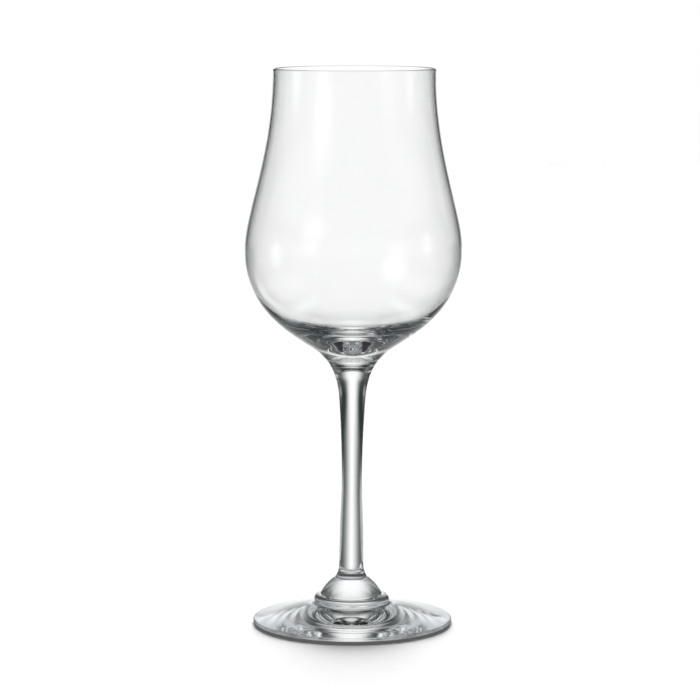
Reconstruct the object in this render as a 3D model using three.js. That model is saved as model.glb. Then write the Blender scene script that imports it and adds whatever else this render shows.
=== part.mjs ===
// Tulip wine glass: five gathers of clear glass, worked hot one after another and welded end to end.
// Millimetres, +Z up. The origin is on the axis, in the plane of the ring that the foot stands on.
import * as THREE from "three";

// Foot: a shallow solid cone with a rounded edge, a little hollow underneath.
const FOOT_RADIUS = 42.3;
const FOOT_EDGE_HEIGHT = 1.8;
const FOOT_EDGE_ROUND = 1.4; // how far the rounding of the edge reaches in
const FOOT_WELD_HEIGHT = 7.2; // from the table to the weld with the collar
const STANDING_RING_WIDTH = 4.4; // flat ring that touches the table
const KICK_HEIGHT = 0.6; // rise of the hollow underside
const PUNTY_MARK_RADIUS = 8; // round scar where the glassmaker's iron was cracked off
const PUNTY_MARK_DEPTH = 0.4;
const PUNTY_MARK_ROUND = 1.2;

// Collar: a flattened button between the foot and the knop.
const COLLAR_WELD_RADIUS = 19; // outer edge of the fillet on the foot
const COLLAR_RADIUS = 16;
const COLLAR_HEIGHT = 4.8;
const COLLAR_FILLET_HEIGHT = 2;

// Knop: a domed button that carries the stem.
const KNOP_RADIUS = 13.1;
const KNOP_HEIGHT = 6.9;

// Stem: a drawn rod, thinnest below its middle, flared at both ends.
const STEM_LENGTH = 93.5;
const STEM_FOOT_RADIUS = 7.1; // weld with the knop
const STEM_SWELL_RADIUS = 5.13;
const STEM_SWELL_HEIGHT = 6.1; // above the weld with the knop
const STEM_WAIST_RADIUS = 4.28;
const STEM_WAIST_HEIGHT = 41.1; // above the weld with the knop
const STEM_THROAT_RADIUS = 5.65;
const STEM_THROAT_DROP = 15.6; // below the weld with the bowl
const STEM_HEAD_RADIUS = 11.2; // weld with the bowl

// Bowl: full belly, drawn-in shoulder, nearly upright rim, on a thick solid base.
const BOWL_HEIGHT = 122.6; // from the weld with the stem to the rim
const RIM_RADIUS = 34.1;
const RIM_WALL = 0.85;
const BELLY_RADIUS = 45.8;
const BELLY_WALL = 1.05;
const BELLY_HEIGHT = 47; // above the weld with the stem
const BASE_RADIUS = 22.4; // where the belly's curve turns into the flare of the stem
const BASE_HEIGHT = 8.8; // above the weld with the stem
const HEEL_RADIUS = 34.7; // inside, where the wall starts to thicken
const HEEL_HEIGHT = 20.2; // above the weld with the stem
const DIMPLE_RADIUS = 16.3; // edge of the dip in the middle of the floor
const DIMPLE_HEIGHT = 11.5; // above the weld with the stem
const FLOOR_HEIGHT = 6; // lowest point inside, above the weld with the stem

// Directions of the outline, in degrees above the outward horizontal.
const FLAT_DEG = 0;
const UPRIGHT_DEG = 90;
const BASE_SLOPE_DEG = 33.2;
const HEEL_SLOPE_DEG = 45;
const DIMPLE_SLOPE_DEG = 17.3;
const STEM_HEAD_SLOPE_DEG = 47.3;
const STEM_THROAT_SLOPE_DEG = 85.6;
const STEM_FOOT_SLOPE_DEG = 138;
const KNOP_FOOT_SLOPE_DEG = 117;
const KNOP_HEAD_SLOPE_DEG = 146;
const COLLAR_HEAD_SLOPE_DEG = 172;
const FOOT_EDGE_SLOPE_DEG = 169.5;
const FOOT_WELD_SLOPE_DEG = 162;
const KICK_EDGE_SLOPE_DEG = -1.2;

// Pulls of each curve: the shares of its chord over which it keeps the direction it leaves and arrives in.
const EDGE_PULLS = [0.4, 0.4];
const KICK_PULLS = [0.4, 0.3];
const FOOT_PULLS = [0.33, 0.33];
const FILLET_PULLS = [0.5, 0.5];
const COLLAR_PULLS = [0.45, 0.45];
const KNOP_PULLS = [0.3, 0.35];
const SWELL_PULLS = [0.2, 0.5];
const WAIST_PULLS = [0.53, 0.24];
const THROAT_PULLS = [0.32, 0.31];
const FLARE_PULLS = [0.5, 0.18];
const BASE_PULLS = [0.43, 0.7];
const BELLY_PULLS = [0.21, 0.5];
const SHOULDER_PULLS = [0.206, 0.475]; // the inside runs the same curve from its other end
const RIM_PULLS = [0.66, 0.66];
const HEEL_PULLS = [0.435, 0.334];
const FLOOR_PULLS = [0.365, 0.263];
const DIMPLE_PULLS = [0.3, 0.267];

// Facets of the turned pieces.
const CURVE_STEPS = 8;
const FACETS_AROUND = 48;
const STEM_FACETS_AROUND = 32;

// Heights of the welds above the table, each piece standing on the one below.
const COLLAR_Z = FOOT_WELD_HEIGHT;
const KNOP_Z = COLLAR_Z + COLLAR_HEIGHT;
const STEM_Z = KNOP_Z + KNOP_HEIGHT;
const BOWL_Z = STEM_Z + STEM_LENGTH;

const CLEAR_GLASS = new THREE.MeshStandardMaterial({
  color: "#e9f0ee",
  roughness: 0.04,
  metalness: 0,
  transparent: true,
  opacity: 0.4,
});

// Carries a path on to a point by a cubic curve that leaves along one direction and arrives along another.
function bend(path, leaveDeg, radius, height, arriveDeg, [leavePull, arrivePull]) {
  const from = path.currentPoint.clone();
  const to = new THREE.Vector2(radius, height);
  const chord = from.distanceTo(to);
  const reach = (deg, pull) =>
    new THREE.Vector2(pull * chord, 0).rotateAround(
      new THREE.Vector2(),
      THREE.MathUtils.degToRad(deg),
    );
  const leave = from.clone().add(reach(leaveDeg, leavePull));
  const arrive = to.clone().sub(reach(arriveDeg, arrivePull));
  path.bezierCurveTo(leave.x, leave.y, arrive.x, arrive.y, to.x, to.y);
}

// The opposite of a direction, for an outline that runs down or inwards.
const back = (deg) => deg - 180;

// Each profile runs out from the axis at the bottom, up the outside and in to the axis at the top.
function footProfile() {
  const ringOuter = FOOT_RADIUS - FOOT_EDGE_ROUND;
  const ringInner = ringOuter - STANDING_RING_WIDTH;
  const markHeight = KICK_HEIGHT - PUNTY_MARK_DEPTH;
  const path = new THREE.Path().moveTo(0, markHeight);
  path.lineTo(PUNTY_MARK_RADIUS - PUNTY_MARK_ROUND, markHeight);
  bend(path, FLAT_DEG, PUNTY_MARK_RADIUS, KICK_HEIGHT, UPRIGHT_DEG, EDGE_PULLS);
  bend(path, FLAT_DEG, ringInner, 0, KICK_EDGE_SLOPE_DEG, KICK_PULLS);
  path.lineTo(ringOuter, 0);
  bend(path, FLAT_DEG, FOOT_RADIUS, FOOT_EDGE_HEIGHT / 2, UPRIGHT_DEG, EDGE_PULLS);
  bend(path, UPRIGHT_DEG, ringOuter, FOOT_EDGE_HEIGHT, FOOT_EDGE_SLOPE_DEG, EDGE_PULLS);
  bend(path, FOOT_EDGE_SLOPE_DEG, COLLAR_WELD_RADIUS, FOOT_WELD_HEIGHT, FOOT_WELD_SLOPE_DEG, FOOT_PULLS);
  return path.lineTo(0, FOOT_WELD_HEIGHT);
}

function collarProfile() {
  const path = new THREE.Path().moveTo(0, 0);
  path.lineTo(COLLAR_WELD_RADIUS, 0);
  bend(path, FOOT_WELD_SLOPE_DEG, COLLAR_RADIUS, COLLAR_FILLET_HEIGHT, UPRIGHT_DEG, FILLET_PULLS);
  bend(path, UPRIGHT_DEG, KNOP_RADIUS, COLLAR_HEIGHT, COLLAR_HEAD_SLOPE_DEG, COLLAR_PULLS);
  return path.lineTo(0, COLLAR_HEIGHT);
}

function knopProfile() {
  const path = new THREE.Path().moveTo(0, 0);
  path.lineTo(KNOP_RADIUS, 0);
  bend(path, KNOP_FOOT_SLOPE_DEG, STEM_FOOT_RADIUS, KNOP_HEIGHT, KNOP_HEAD_SLOPE_DEG, KNOP_PULLS);
  return path.lineTo(0, KNOP_HEIGHT);
}

function stemProfile() {
  const throatHeight = STEM_LENGTH - STEM_THROAT_DROP;
  const path = new THREE.Path().moveTo(0, 0);
  path.lineTo(STEM_FOOT_RADIUS, 0);
  bend(path, STEM_FOOT_SLOPE_DEG, STEM_SWELL_RADIUS, STEM_SWELL_HEIGHT, UPRIGHT_DEG, SWELL_PULLS);
  bend(path, UPRIGHT_DEG, STEM_WAIST_RADIUS, STEM_WAIST_HEIGHT, UPRIGHT_DEG, WAIST_PULLS);
  bend(path, UPRIGHT_DEG, STEM_THROAT_RADIUS, throatHeight, STEM_THROAT_SLOPE_DEG, THROAT_PULLS);
  bend(path, STEM_THROAT_SLOPE_DEG, STEM_HEAD_RADIUS, STEM_LENGTH, STEM_HEAD_SLOPE_DEG, FLARE_PULLS);
  return path.lineTo(0, STEM_LENGTH);
}

function bowlProfile() {
  const rimTurn = BOWL_HEIGHT - RIM_WALL / 2;
  const innerBelly = BELLY_RADIUS - BELLY_WALL;
  const down = back(UPRIGHT_DEG);
  const heelSlope = back(HEEL_SLOPE_DEG);
  const dimpleSlope = back(DIMPLE_SLOPE_DEG);
  const path = new THREE.Path().moveTo(0, 0);
  path.lineTo(STEM_HEAD_RADIUS, 0);
  bend(path, STEM_HEAD_SLOPE_DEG, BASE_RADIUS, BASE_HEIGHT, BASE_SLOPE_DEG, BASE_PULLS);
  bend(path, BASE_SLOPE_DEG, BELLY_RADIUS, BELLY_HEIGHT, UPRIGHT_DEG, BELLY_PULLS);
  bend(path, UPRIGHT_DEG, RIM_RADIUS, rimTurn, UPRIGHT_DEG, SHOULDER_PULLS);
  bend(path, UPRIGHT_DEG, RIM_RADIUS - RIM_WALL, rimTurn, down, RIM_PULLS);
  bend(path, down, innerBelly, BELLY_HEIGHT, down, SHOULDER_PULLS.toReversed());
  bend(path, down, HEEL_RADIUS, HEEL_HEIGHT, heelSlope, HEEL_PULLS);
  bend(path, heelSlope, DIMPLE_RADIUS, DIMPLE_HEIGHT, dimpleSlope, FLOOR_PULLS);
  bend(path, dimpleSlope, 0, FLOOR_HEIGHT, back(FLAT_DEG), DIMPLE_PULLS);
  return path;
}

// A profile turned about the axis and set on its weld.
function turned(name, profile, weldHeight, facetsAround) {
  const geometry = new THREE.LatheGeometry(profile.getPoints(CURVE_STEPS), facetsAround);
  geometry.rotateX(Math.PI / 2);
  const mesh = new THREE.Mesh(geometry, CLEAR_GLASS);
  mesh.name = name;
  mesh.position.z = weldHeight;
  return mesh;
}

const glass = new THREE.Group();
glass.add(turned("foot", footProfile(), 0, FACETS_AROUND));
glass.add(turned("collar", collarProfile(), COLLAR_Z, FACETS_AROUND));
glass.add(turned("knop", knopProfile(), KNOP_Z, FACETS_AROUND));
glass.add(turned("stem", stemProfile(), STEM_Z, STEM_FACETS_AROUND));
glass.add(turned("bowl", bowlProfile(), BOWL_Z, FACETS_AROUND));

export default glass;
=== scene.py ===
import math

import bpy
import numpy as np
from mathutils import Euler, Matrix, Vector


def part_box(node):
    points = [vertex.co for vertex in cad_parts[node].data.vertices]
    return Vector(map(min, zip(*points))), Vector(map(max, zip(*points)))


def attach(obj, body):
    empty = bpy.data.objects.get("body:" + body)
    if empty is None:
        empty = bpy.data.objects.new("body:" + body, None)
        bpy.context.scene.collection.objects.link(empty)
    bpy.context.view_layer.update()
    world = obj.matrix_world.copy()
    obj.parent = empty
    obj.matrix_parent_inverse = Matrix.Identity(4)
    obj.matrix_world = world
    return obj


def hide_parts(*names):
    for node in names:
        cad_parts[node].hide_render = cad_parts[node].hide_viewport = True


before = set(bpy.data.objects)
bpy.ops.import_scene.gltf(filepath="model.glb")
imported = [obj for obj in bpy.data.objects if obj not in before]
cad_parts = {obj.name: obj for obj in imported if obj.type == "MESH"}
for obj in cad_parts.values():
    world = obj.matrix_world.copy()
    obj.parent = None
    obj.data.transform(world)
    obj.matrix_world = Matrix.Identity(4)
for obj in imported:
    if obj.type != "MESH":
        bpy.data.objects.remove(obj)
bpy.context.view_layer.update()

MM = 0.001
WHITE = (1, 1, 1, 1)

# Sizes of the turned glass, in millimetres, as the solids have them.
FOOT_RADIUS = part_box("foot")[1].x / MM
FOOT_EDGE_HEIGHT = 1.8
FOOT_EDGE_ROUND = 1.4
STANDING_RING_WIDTH = 4.4
KICK_HEIGHT = 0.6
PUNTY_MARK_RADIUS = 8.0
PUNTY_MARK_DEPTH = 0.4
PUNTY_MARK_ROUND = 1.2
COLLAR_WELD_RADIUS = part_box("collar")[1].x / MM
COLLAR_RADIUS = 16.0
COLLAR_FILLET_HEIGHT = 2.0
KNOP_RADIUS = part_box("knop")[1].x / MM
STEM_FOOT_RADIUS = 7.1
STEM_SWELL_RADIUS = 5.13
STEM_SWELL_HEIGHT = 6.1
STEM_WAIST_RADIUS = 4.28
STEM_WAIST_HEIGHT = 41.1
STEM_THROAT_RADIUS = 5.65
STEM_THROAT_DROP = 15.6
STEM_HEAD_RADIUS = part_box("stem")[1].x / MM
BELLY_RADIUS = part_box("bowl")[1].x / MM
BELLY_WALL = 1.05
BELLY_HEIGHT = 47.0
RIM_RADIUS = 34.1
RIM_WALL = 0.85
BASE_RADIUS = 22.4
BASE_HEIGHT = 8.8
HEEL_RADIUS = 34.7
HEEL_HEIGHT = 20.2
DIMPLE_RADIUS = 16.3
DIMPLE_HEIGHT = 11.5
FLOOR_HEIGHT = 6.0

# Heights of the welds, the belly and the rim above the table.
COLLAR_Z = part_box("collar")[0].z / MM
KNOP_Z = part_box("knop")[0].z / MM
STEM_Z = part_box("stem")[0].z / MM
BOWL_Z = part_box("bowl")[0].z / MM
BELLY_Z = BOWL_Z + BELLY_HEIGHT
RIM_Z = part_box("bowl")[1].z / MM

# Directions of the outline, in degrees above the outward horizontal.
FLAT, UPRIGHT, DOWN, INWARD = 0, 90, -90, -180
BASE_SLOPE = 33.2
HEEL_SLOPE = -135
DIMPLE_SLOPE = -162.7
STEM_HEAD_SLOPE = 47.3
STEM_THROAT_SLOPE = 85.6
STEM_FOOT_SLOPE = 138
KNOP_FOOT_SLOPE = 117
KNOP_HEAD_SLOPE = 146
COLLAR_HEAD_SLOPE = 172
FOOT_EDGE_SLOPE = 169.5
FOOT_WELD_SLOPE = 162
KICK_EDGE_SLOPE = -1.2

# Pulls of each curve: the shares of its chord over which it keeps the direction it leaves and arrives in.
EDGE_PULLS = (0.4, 0.4)
KICK_PULLS = (0.4, 0.3)
FOOT_PULLS = (0.33, 0.33)
FILLET_PULLS = (0.5, 0.5)
COLLAR_PULLS = (0.45, 0.45)
KNOP_PULLS = (0.3, 0.35)
SWELL_PULLS = (0.2, 0.5)
WAIST_PULLS = (0.53, 0.24)
THROAT_PULLS = (0.32, 0.31)
FLARE_PULLS = (0.5, 0.18)
BASE_PULLS = (0.43, 0.7)
BELLY_PULLS = (0.21, 0.5)
SHOULDER_PULLS = (0.206, 0.475)
RIM_PULLS = (0.66, 0.66)
HEEL_PULLS = (0.435, 0.334)
FLOOR_PULLS = (0.365, 0.263)
DIMPLE_PULLS = (0.3, 0.267)

# The hand-worked axis: the foot sits aside, in millimetres, and the rest tilts about the belly.
FOOT_STRAY = -0.43
AXIS_TILT = 0.0065

# Fineness of the turned meshes: steps round the axis, and steps along the outlines in millimetres.
# A curve has at least so many steps and is a little longer than its chord; sharper angles show as edges.
AROUND = 256
SMALL_GRAIN, GRAIN, BOWL_GRAIN = 0.15, 0.4, 0.95
LEAST_STEPS = 14
CURVE_OVER_CHORD = 1.1
SHARP_ANGLE = 50

# Clear glass, and the depths in metres of the waves that hand work leaves in it.
GLASS_IOR = 1.52
TINTS = ((0.999, 0.998, 0.994, 1), (0.996, 0.998, 0.996, 1))
WAVE_SCALE = 60.0
FOOT_WAVES = 0.0001
BOWL_WAVES = 0.00002
WAVES_CALM_BETWEEN = (0.006, 0.013)

# The camera, from the ellipses of the rim and the foot.
IMAGE_SIDE = 700
SENSOR = 36.0
FOCAL_PIXELS = 2948.7
CAMERA_PLACE = (-0.00142, -1.2353, 0.2749)
CAMERA_PITCH = 7.31

# The lit sheet behind the glass, in degrees: half-widths across, and the heights between which it changes.
SHEET_BRIGHTNESS = 1.07
SHEET_NARROW, SHEET_WIDE, SHEET_FLARE = 15, 19, 5
SHEET_SPREAD = (-3, -7)
SHEET_FLARE_SPREAD = (8, 18)
SHEET_SHARP, SHEET_SOFT = 3, 1.7
SHEET_TOP = (28, 37)
SHEET_BOTTOM = (-85, -10)

# How far a direction goes toward the back, as a share of it: the sheet ends level with the glass.
SHEET_BACK = (-0.05, 0.05)
FRONT_BACK = (-0.4, -0.6)

# Dim walls of the room, in degrees: wings at both sides, skirts below, and the front behind the camera.
ROOM = (0.024, 0.032, 0.032, 1)
WING_BRIGHTNESS, WING_FAR_SHARE, WING_HIGH_SHARE = 0.3, 0.5, 0.12
WING_START, WING_FAR, WING_BOTTOM, WING_HIGH = (34, 46), (50, 60), (-4, 1), (5, 13)
SKIRT_BRIGHTNESS, SKIRT_START, SKIRT_TOP = 0.35, (44, 56), (-17, -23)
FRONT_BRIGHTNESS, FRONT_BOTTOM, FRONT_TOP = 0.12, (-6, 0), (25, 35)

# The share of the world's light that reaches the floor.
WORLD_ON_FLOOR = 0.1

# The low soft light from behind, which makes the floor's shadow: strength, and spread and tilt in degrees.
BACK_LIGHT, BACK_LIGHT_SPREAD, BACK_LIGHT_TILT = 22, 16, -81

# The piece that shades the floor; light goes straight through the others.
SHADING_NODE = "foot"

# The floor in metres, and the film of air between it and the standing ring.
FLOOR_SIDE = 3.0
FLOOR_GAP = 0.00005
FLOOR_COLOUR = (0.85, 0.85, 0.85, 1)
FLOOR_LIFT = 0.1

# The floor under the foot as the glass shows it, painted with a bright middle, a dark ring of painted
# shadow and a lighter outer ring: radii in metres where it changes, and its painted brightness.
PAINTED_UNDER_FOOT = (0.95, 1.0, 1.03, 1)
MIDDLE_EDGE, MIDDLE_GLOW, RING_GLOW = (0.0105, 0.0125), 0.6, 0.05
OUTER_EDGE, OUTER_GLOWS = (0.0265, 0.035), (0.03, 0.5)

# Between these radii, and beyond the last, the glass shows the sheet instead.
MIDDLE_END, RING_START, FOOT_END = (0.0145, 0.017), (0.02, 0.0225), (0.042, 0.05)

# Low white cards on both sides of the foot, which the glass alone shows, in metres.
CARD_DISTANCE, CARD_LENGTH, CARD_HEIGHT = 0.1, 0.3, 0.06
CARD_GLOW = (0.9, 0.95, 0.975, 1)

# Panels behind the other views: azimuth of the view, elevation and half-width in degrees, and brightness.
PANELS = (
    (0, 58, 16, 0.75),
    (45, -23, 9, 0.9),
    (45, -38, 9, 0.85),
    (225, -15, 14, 1.0),
    (90, -3, 9, 0.9),
)


class Outline:
    """A profile in the plane of radius and height, in millimetres, and which of its stretches are welds."""

    def __init__(self, radius, height, grain):
        self.points = [np.array([[radius, height]], float)]
        self.weld_rows = []
        self.grain = grain

    @property
    def end(self):
        return self.points[-1][-1]

    @property
    def count(self):
        return sum(len(run) for run in self.points)

    def line(self, radius, height, weld=False):
        """A straight stretch: one step on a weld, otherwise steps of the outline's grain."""
        to = np.array([radius, height], float)
        steps = 1 if weld else max(2, math.ceil(np.hypot(*(to - self.end)) / self.grain))
        share = np.linspace(0, 1, steps + 1)[1:, None]
        if weld:
            self.weld_rows.append(self.count - 1)
        self.points.append(self.end + share * (to - self.end))
        return self

    def bend(self, leave, radius, height, arrive, pulls):
        """A cubic curve that leaves along one direction and arrives along another.

        It keeps each direction for its pull, a share of the chord, so the weights of the four points are
        s^3, 3 s^2 t, 3 s t^2 and t^3, with t from 0 to 1 and s = 1 - t.
        """
        start = self.end
        to = np.array([radius, height], float)
        chord = np.hypot(*(to - start))
        angles = np.radians([leave, arrive])
        reach = chord * np.array(pulls)[:, None] * np.stack([np.cos(angles), np.sin(angles)], 1)
        leaving = start + reach[0]
        arriving = to - reach[1]
        steps = max(LEAST_STEPS, math.ceil(CURVE_OVER_CHORD * chord / self.grain))
        t = np.linspace(0, 1, steps + 1)[1:, None]
        s = 1 - t
        self.points.append(s**3 * start + 3 * s**2 * t * leaving + 3 * s * t**2 * arriving + t**3 * to)
        return self


def foot_outline():
    ring_outer = FOOT_RADIUS - FOOT_EDGE_ROUND
    scar = KICK_HEIGHT - PUNTY_MARK_DEPTH
    path = Outline(0, scar, GRAIN)
    path.line(PUNTY_MARK_RADIUS - PUNTY_MARK_ROUND, scar)
    path.bend(FLAT, PUNTY_MARK_RADIUS, KICK_HEIGHT, UPRIGHT, EDGE_PULLS)
    path.bend(FLAT, ring_outer - STANDING_RING_WIDTH, 0, KICK_EDGE_SLOPE, KICK_PULLS)
    path.line(ring_outer, 0)
    path.bend(FLAT, FOOT_RADIUS, FOOT_EDGE_HEIGHT / 2, UPRIGHT, EDGE_PULLS)
    path.bend(UPRIGHT, ring_outer, FOOT_EDGE_HEIGHT, FOOT_EDGE_SLOPE, EDGE_PULLS)
    path.bend(FOOT_EDGE_SLOPE, COLLAR_WELD_RADIUS, COLLAR_Z, FOOT_WELD_SLOPE, FOOT_PULLS)
    return path.line(0, COLLAR_Z, weld=True)


def collar_outline():
    path = Outline(0, COLLAR_Z, SMALL_GRAIN)
    path.line(COLLAR_WELD_RADIUS, COLLAR_Z, weld=True)
    path.bend(FOOT_WELD_SLOPE, COLLAR_RADIUS, COLLAR_Z + COLLAR_FILLET_HEIGHT, UPRIGHT, FILLET_PULLS)
    path.bend(UPRIGHT, KNOP_RADIUS, KNOP_Z, COLLAR_HEAD_SLOPE, COLLAR_PULLS)
    return path.line(0, KNOP_Z, weld=True)


def knop_outline():
    path = Outline(0, KNOP_Z, SMALL_GRAIN)
    path.line(KNOP_RADIUS, KNOP_Z, weld=True)
    path.bend(KNOP_FOOT_SLOPE, STEM_FOOT_RADIUS, STEM_Z, KNOP_HEAD_SLOPE, KNOP_PULLS)
    return path.line(0, STEM_Z, weld=True)


def stem_outline():
    path = Outline(0, STEM_Z, GRAIN)
    path.line(STEM_FOOT_RADIUS, STEM_Z, weld=True)
    path.bend(STEM_FOOT_SLOPE, STEM_SWELL_RADIUS, STEM_Z + STEM_SWELL_HEIGHT, UPRIGHT, SWELL_PULLS)
    path.bend(UPRIGHT, STEM_WAIST_RADIUS, STEM_Z + STEM_WAIST_HEIGHT, UPRIGHT, WAIST_PULLS)
    path.bend(UPRIGHT, STEM_THROAT_RADIUS, BOWL_Z - STEM_THROAT_DROP, STEM_THROAT_SLOPE, THROAT_PULLS)
    path.bend(STEM_THROAT_SLOPE, STEM_HEAD_RADIUS, BOWL_Z, STEM_HEAD_SLOPE, FLARE_PULLS)
    return path.line(0, BOWL_Z, weld=True)


def bowl_outline():
    rim_turn = RIM_Z - RIM_WALL / 2
    inner_belly = BELLY_RADIUS - BELLY_WALL
    path = Outline(0, BOWL_Z, BOWL_GRAIN)
    path.line(STEM_HEAD_RADIUS, BOWL_Z, weld=True)
    path.bend(STEM_HEAD_SLOPE, BASE_RADIUS, BOWL_Z + BASE_HEIGHT, BASE_SLOPE, BASE_PULLS)
    path.bend(BASE_SLOPE, BELLY_RADIUS, BELLY_Z, UPRIGHT, BELLY_PULLS)
    path.bend(UPRIGHT, RIM_RADIUS, rim_turn, UPRIGHT, SHOULDER_PULLS)
    path.bend(UPRIGHT, RIM_RADIUS - RIM_WALL, rim_turn, DOWN, RIM_PULLS)
    path.bend(DOWN, inner_belly, BELLY_Z, DOWN, SHOULDER_PULLS[::-1])
    path.bend(DOWN, HEEL_RADIUS, BOWL_Z + HEEL_HEIGHT, HEEL_SLOPE, HEEL_PULLS)
    path.bend(HEEL_SLOPE, DIMPLE_RADIUS, BOWL_Z + DIMPLE_HEIGHT, DIMPLE_SLOPE, FLOOR_PULLS)
    return path.bend(DIMPLE_SLOPE, 0, BOWL_Z + FLOOR_HEIGHT, INWARD, DIMPLE_PULLS)


def lean(height):
    """How far the hand-worked axis strays sideways: a slight tilt, and a step across at the collar."""
    stray = AXIS_TILT * (height - BELLY_Z * MM)
    step = np.clip((height - COLLAR_Z * MM) / ((KNOP_Z - COLLAR_Z) * MM), 0, 1)
    step = step * step * (3 - 2 * step)
    return FOOT_STRAY * MM * (1 - step) + stray * step


def turn(name, path, materials):
    """Revolves an outline about the axis: point (i, j) is outline point i turned by j steps round the axis.

    The two ends of the outline are on the axis, so each is one vertex with a fan of triangles.
    """
    profile = np.vstack(path.points) * MM
    ring = profile[1:-1]
    angle = np.linspace(0, 2 * np.pi, AROUND, endpoint=False)
    grid = np.empty((len(ring), AROUND, 3))
    grid[..., 0] = ring[:, :1] * np.cos(angle) + lean(ring[:, 1:])
    grid[..., 1] = ring[:, :1] * np.sin(angle)
    grid[..., 2] = ring[:, 1:]
    ends = profile[[0, -1], 1]
    poles = np.stack([lean(ends), np.zeros(2), ends], 1)
    points = np.vstack([grid.reshape(-1, 3), poles])

    rows, steps = np.meshgrid(np.arange(len(ring) - 1), np.arange(AROUND), indexing="ij")
    onward = (steps + 1) % AROUND
    quads = np.stack([rows * AROUND + steps, rows * AROUND + onward,
                      (rows + 1) * AROUND + onward, (rows + 1) * AROUND + steps], -1).reshape(-1, 4)
    step = np.arange(AROUND)
    nxt = (step + 1) % AROUND
    top = (len(ring) - 1) * AROUND
    first_fan = np.stack([np.full(AROUND, len(points) - 2), nxt, step], 1)
    last_fan = np.stack([np.full(AROUND, len(points) - 1), top + step, top + nxt], 1)

    mesh = bpy.data.meshes.new(name)
    mesh.from_pydata(points, [], first_fan.tolist() + quads.tolist() + last_fan.tolist())
    slots = np.repeat(np.isin(np.arange(len(profile) - 1), path.weld_rows), AROUND).astype(np.int32)
    mesh.polygons.foreach_set("material_index", slots)
    mesh.polygons.foreach_set("use_smooth", np.ones(len(slots), bool))
    mesh.set_sharp_from_angle(angle=math.radians(SHARP_ANGLE))
    for material in materials:
        mesh.materials.append(material)
    mesh.update()
    piece = bpy.data.objects.new(name, mesh)
    bpy.context.scene.collection.objects.link(piece)
    return piece


class Wire:
    """A shader socket: arithmetic on it adds Math nodes to its tree, and node() adds any other kind."""

    def __init__(self, tree, socket=None):
        self.tree = tree
        self.socket = socket

    def node(self, kind, settings=None, sockets=None, out=0):
        """Adds a node: its settings are set first, then its sockets get their values or links."""
        made = self.tree.nodes.new(kind)
        for name, value in (settings or {}).items():
            setattr(made, name, value)
        for name, value in (sockets or {}).items():
            if isinstance(value, Wire):
                self.tree.links.new(value.socket, made.inputs[name])
            else:
                made.inputs[name].default_value = value
        return Wire(self.tree, made.outputs[out]) if made.outputs else made

    def ramp(self, start, stop, low, high):
        """A smooth step from one value to another as this socket goes from start to stop."""
        return self.node("ShaderNodeMapRange", {"interpolation_type": "SMOOTHSTEP"}, {
            "Value": self, "From Min": start, "From Max": stop, "To Min": low, "To Max": high})

    def maths(self, operation, *values):
        return self.node("ShaderNodeMath", {"operation": operation}, dict(enumerate(values)))

    def __add__(self, other):
        return self.maths("ADD", self, other)

    def __sub__(self, other):
        return self.maths("SUBTRACT", self, other)

    def __rsub__(self, other):
        return self.maths("SUBTRACT", other, self)

    def __mul__(self, other):
        return self.maths("MULTIPLY", self, other)

    __radd__ = __add__
    __rmul__ = __mul__


def new_material(name):
    material = bpy.data.materials.new(name)
    material.use_nodes = True
    material.node_tree.nodes.clear()
    return material, Wire(material.node_tree)


def clear_glass():
    """Clear glass with a trace of tint and the faint waves of hand work, deepest in the spun foot."""
    material, wire = new_material("clear_glass")
    place = wire.node("ShaderNodeNewGeometry", out="Position")
    height = wire.node("ShaderNodeSeparateXYZ", None, {0: place}, "Z")
    waves = wire.node("ShaderNodeTexNoise", None, {
        "Vector": place, "Scale": WAVE_SCALE, "Detail": 1.0, "Roughness": 0.4})
    depth = height.ramp(*WAVES_CALM_BETWEEN, FOOT_WAVES, BOWL_WAVES)
    rippled = wire.node("ShaderNodeBump", None, {"Strength": 1.0, "Distance": 1.0, "Height": waves * depth})
    tint = wire.node("ShaderNodeMix", {"data_type": "RGBA"}, {0: waves, 6: TINTS[0], 7: TINTS[1]}, 2)
    shader = wire.node("ShaderNodeBsdfPrincipled", None, {
        "Base Color": tint, "Roughness": 0.0, "IOR": GLASS_IOR, "Transmission Weight": 1.0,
        "Normal": rippled})
    wire.node("ShaderNodeOutputMaterial", None, {"Surface": shader})
    return material


def hot_weld():
    """The inside of a weld, where glass runs on into glass and nothing shows."""
    material, wire = new_material("hot_weld")
    shader = wire.node("ShaderNodeBsdfTransparent", None, {"Color": WHITE})
    wire.node("ShaderNodeOutputMaterial", None, {"Surface": shader})
    return material


def toward(azimuth, elevation):
    """Unit vector that a camera at this azimuth looks along, raised by an elevation."""
    a, e = math.radians(azimuth), math.radians(elevation)
    return (-math.sin(a) * math.cos(e), math.cos(a) * math.cos(e), math.sin(e))


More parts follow.
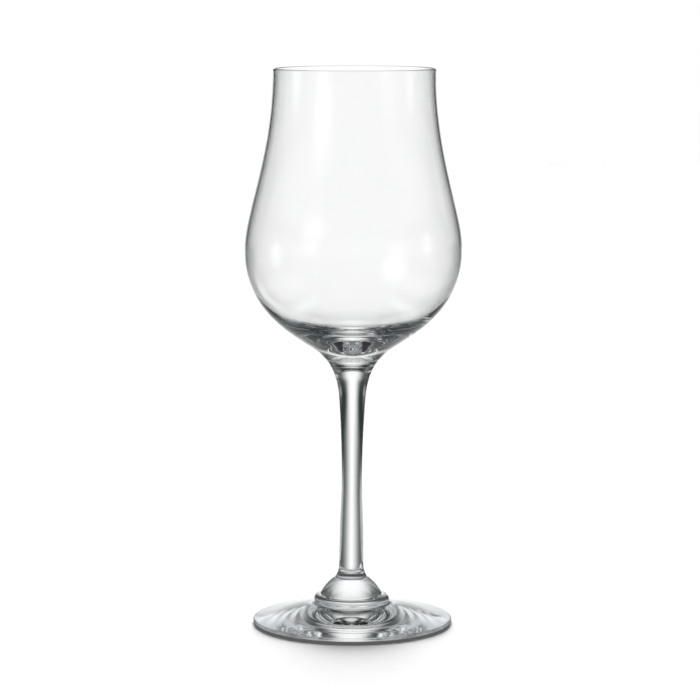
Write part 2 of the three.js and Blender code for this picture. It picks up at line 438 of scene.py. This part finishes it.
def studio_world():
    """White to the camera. To the glass, a dim room with a lit sheet behind and below it.

    The sheet fades sideways as exp(-(across / width) ** power): soft and wide low down, narrow and sharp
    higher up. It ends above in a straight edge and dims slowly below. Each panel is round and fades as
    exp(-(angle / half-width) ** 4).
    """
    world = bpy.data.worlds.new("studio")
    bpy.context.scene.world = world
    world.use_nodes = True
    world.node_tree.nodes.clear()
    wire = Wire(world.node_tree)
    direction = wire.node("ShaderNodeTexCoord", out="Generated")
    sideways = wire.node("ShaderNodeSeparateXYZ", None, {0: direction}, "X")
    onward = wire.node("ShaderNodeSeparateXYZ", None, {0: direction}, "Y")
    upward = wire.node("ShaderNodeSeparateXYZ", None, {0: direction}, "Z")
    degrees = 180 / math.pi
    across = wire.maths("ABSOLUTE", wire.maths("ARCSINE", sideways)) * degrees
    height = wire.maths("ARCSINE", upward) * degrees
    width = height.ramp(*SHEET_SPREAD, SHEET_NARROW, SHEET_WIDE)
    width = width + height.ramp(*SHEET_FLARE_SPREAD, 0, SHEET_FLARE)
    power = height.ramp(*SHEET_SPREAD, SHEET_SHARP, SHEET_SOFT)
    sheet = wire.maths("EXPONENT", wire.maths("POWER", wire.maths("DIVIDE", across, width), power) * -1.0)
    sheet = sheet * height.ramp(*SHEET_TOP, 1, 0) * height.ramp(*SHEET_BOTTOM, 0, 1)
    sheet = sheet * onward.ramp(*SHEET_BACK, 0, 1)
    wings = across.ramp(*WING_START, 0, WING_BRIGHTNESS) * across.ramp(*WING_FAR, 1, WING_FAR_SHARE)
    wings = wings * height.ramp(*WING_BOTTOM, 0, 1) * height.ramp(*WING_HIGH, 1, WING_HIGH_SHARE)
    skirts = across.ramp(*SKIRT_START, 0, SKIRT_BRIGHTNESS) * height.ramp(*SKIRT_TOP, 0, 1)
    front = onward.ramp(*FRONT_BACK, 0, FRONT_BRIGHTNESS)
    front = front * height.ramp(*FRONT_BOTTOM, 0, 1) * height.ramp(*FRONT_TOP, 1, 0)
    glow = sheet * SHEET_BRIGHTNESS + wings + skirts + front
    for azimuth, elevation, spread, strength in PANELS:
        facing = wire.node("ShaderNodeVectorMath", {"operation": "DOT_PRODUCT"},
                           {0: direction, 1: toward(azimuth, elevation)}, "Value")
        off = wire.maths("ARCCOSINE", facing) * (1 / math.radians(spread))
        glow = glow + wire.maths("EXPONENT", wire.maths("POWER", off, 4.0) * -1.0) * strength
    camera_ray = wire.node("ShaderNodeLightPath", out="Is Camera Ray")
    soft_ray = wire.node("ShaderNodeLightPath", out="Is Diffuse Ray")
    to_glass = (1 - camera_ray) * (1 - soft_ray * (1 - WORLD_ON_FLOOR))
    lit = wire.node("ShaderNodeBackground", None, {
        "Color": WHITE, "Strength": camera_ray + to_glass * glow})
    dim = wire.node("ShaderNodeBackground", None, {"Color": ROOM, "Strength": to_glass})
    both = wire.node("ShaderNodeAddShader", None, {0: lit, 1: dim})
    wire.node("ShaderNodeOutputWorld", None, {"Surface": both})


def pale_floor():
    """A pale paper floor. Under the foot the glass sees painted rings of shadow and light in its place, and
    the sheet elsewhere.
    """
    side = FLOOR_SIDE
    mesh = bpy.data.meshes.new("floor")
    corners = ((-side, -side), (side, -side), (side, side), (-side, side))
    mesh.from_pydata([(x, y, -FLOOR_GAP) for x, y in corners], [], [(0, 1, 2, 3)])
    floor = bpy.data.objects.new("floor", mesh)
    bpy.context.scene.collection.objects.link(floor)
    material, wire = new_material("pale_floor")
    paper = wire.node("ShaderNodeBsdfDiffuse", None, {"Color": FLOOR_COLOUR})
    camera_ray = wire.node("ShaderNodeLightPath", out="Is Camera Ray")
    lift = wire.node("ShaderNodeEmission", None, {"Color": WHITE, "Strength": camera_ray * FLOOR_LIFT})
    both = wire.node("ShaderNodeAddShader", None, {0: paper, 1: lift})
    place = wire.node("ShaderNodeNewGeometry", out="Position")
    apart = wire.node("ShaderNodeVectorMath", {"operation": "LENGTH"}, {0: place}, "Value")
    # Painted shade and light that only the glass sees under the foot: a bright middle, a dark ring of
    # painted shadow, and a lighter ring outside it.
    shade = apart.ramp(*MIDDLE_EDGE, MIDDLE_GLOW, RING_GLOW) + apart.ramp(*OUTER_EDGE, *OUTER_GLOWS)
    under = wire.node("ShaderNodeEmission", None, {"Color": PAINTED_UNDER_FOOT, "Strength": shade})
    beyond = wire.node("ShaderNodeBsdfTransparent", None, {"Color": WHITE})
    ring = apart.ramp(*RING_START, 0, 1) * apart.ramp(*FOOT_END, 1, 0)
    near = apart.ramp(*MIDDLE_END, 1, 0) + ring
    seen = wire.node("ShaderNodeMixShader", None, {0: near, 1: beyond, 2: under})
    through = wire.node("ShaderNodeLightPath", out="Is Transmission Ray")
    mirrored = wire.node("ShaderNodeLightPath", out="Is Glossy Ray")
    to_glass = wire.maths("MAXIMUM", through, mirrored)
    surface = wire.node("ShaderNodeMixShader", None, {0: to_glass, 1: both, 2: seen})
    wire.node("ShaderNodeOutputMaterial", None, {"Surface": surface})
    mesh.materials.append(material)


def side_cards():
    """Two glowing cards that fade out upward and toward both ends."""
    half = CARD_LENGTH / 2
    corners = ((-half, 0), (half, 0), (half, CARD_HEIGHT), (-half, CARD_HEIGHT))
    points = [(side * CARD_DISTANCE, along, height) for side in (-1, 1) for along, height in corners]
    mesh = bpy.data.meshes.new("side_cards")
    mesh.from_pydata(points, [], [(0, 1, 2, 3), (4, 5, 6, 7)])
    cards = bpy.data.objects.new("side_cards", mesh)
    bpy.context.scene.collection.objects.link(cards)
    material, wire = new_material("white_card")
    glow = wire.node("ShaderNodeEmission", None, {"Color": CARD_GLOW, "Strength": 1.0})
    clear = wire.node("ShaderNodeBsdfTransparent", None, {"Color": WHITE})
    place = wire.node("ShaderNodeNewGeometry", out="Position")
    height = wire.node("ShaderNodeSeparateXYZ", None, {0: place}, "Z")
    along = wire.maths("ABSOLUTE", wire.node("ShaderNodeSeparateXYZ", None, {0: place}, "Y"))
    fade = height.ramp(CARD_HEIGHT / 2, CARD_HEIGHT, 1, 0) * along.ramp(0, CARD_LENGTH / 2, 1, 0)
    surface = wire.node("ShaderNodeMixShader", None, {0: fade, 1: clear, 2: glow})
    wire.node("ShaderNodeOutputMaterial", None, {"Surface": surface})
    mesh.materials.append(material)
    cards.visible_camera = False
    cards.visible_diffuse = False
    cards.visible_shadow = False


def back_light():
    sun = bpy.data.lights.new("back_light", "SUN")
    sun.energy = BACK_LIGHT
    sun.angle = math.radians(BACK_LIGHT_SPREAD)
    lamp = bpy.data.objects.new("back_light", sun)
    bpy.context.scene.collection.objects.link(lamp)
    lamp.rotation_euler = Euler((math.radians(BACK_LIGHT_TILT), 0, 0))
    lamp.visible_glossy = False
    lamp.visible_transmission = False


def camera():
    data = bpy.data.cameras.new("camera")
    data.sensor_width = SENSOR
    data.lens = FOCAL_PIXELS / IMAGE_SIDE * SENSOR
    eye = bpy.data.objects.new("camera", data)
    eye.location = CAMERA_PLACE
    eye.rotation_euler = Euler((math.radians(90 - CAMERA_PITCH), 0, 0))
    bpy.context.scene.collection.objects.link(eye)
    bpy.context.scene.camera = eye


scene = bpy.context.scene
camera()
studio_world()
back_light()
pale_floor()
side_cards()

glass, weld = clear_glass(), hot_weld()
for piece_name, node, outline in (
    ("spun_foot", "foot", foot_outline()),
    ("round_collar", "collar", collar_outline()),
    ("domed_knop", "knop", knop_outline()),
    ("drawn_stem", "stem", stem_outline()),
    ("blown_bowl", "bowl", bowl_outline()),
):
    piece = turn(piece_name, outline, (glass, weld))
    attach(piece, "root")
    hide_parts(node)
    piece.visible_shadow = node == SHADING_NODE

scene.view_settings.view_transform = "Standard"
scene.cycles.max_bounces = 32
scene.cycles.transmission_bounces = 32
scene.cycles.glossy_bounces = 16
scene.cycles.transparent_max_bounces = 32
scene.cycles.caustics_refractive = False
scene.cycles.caustics_reflective = False
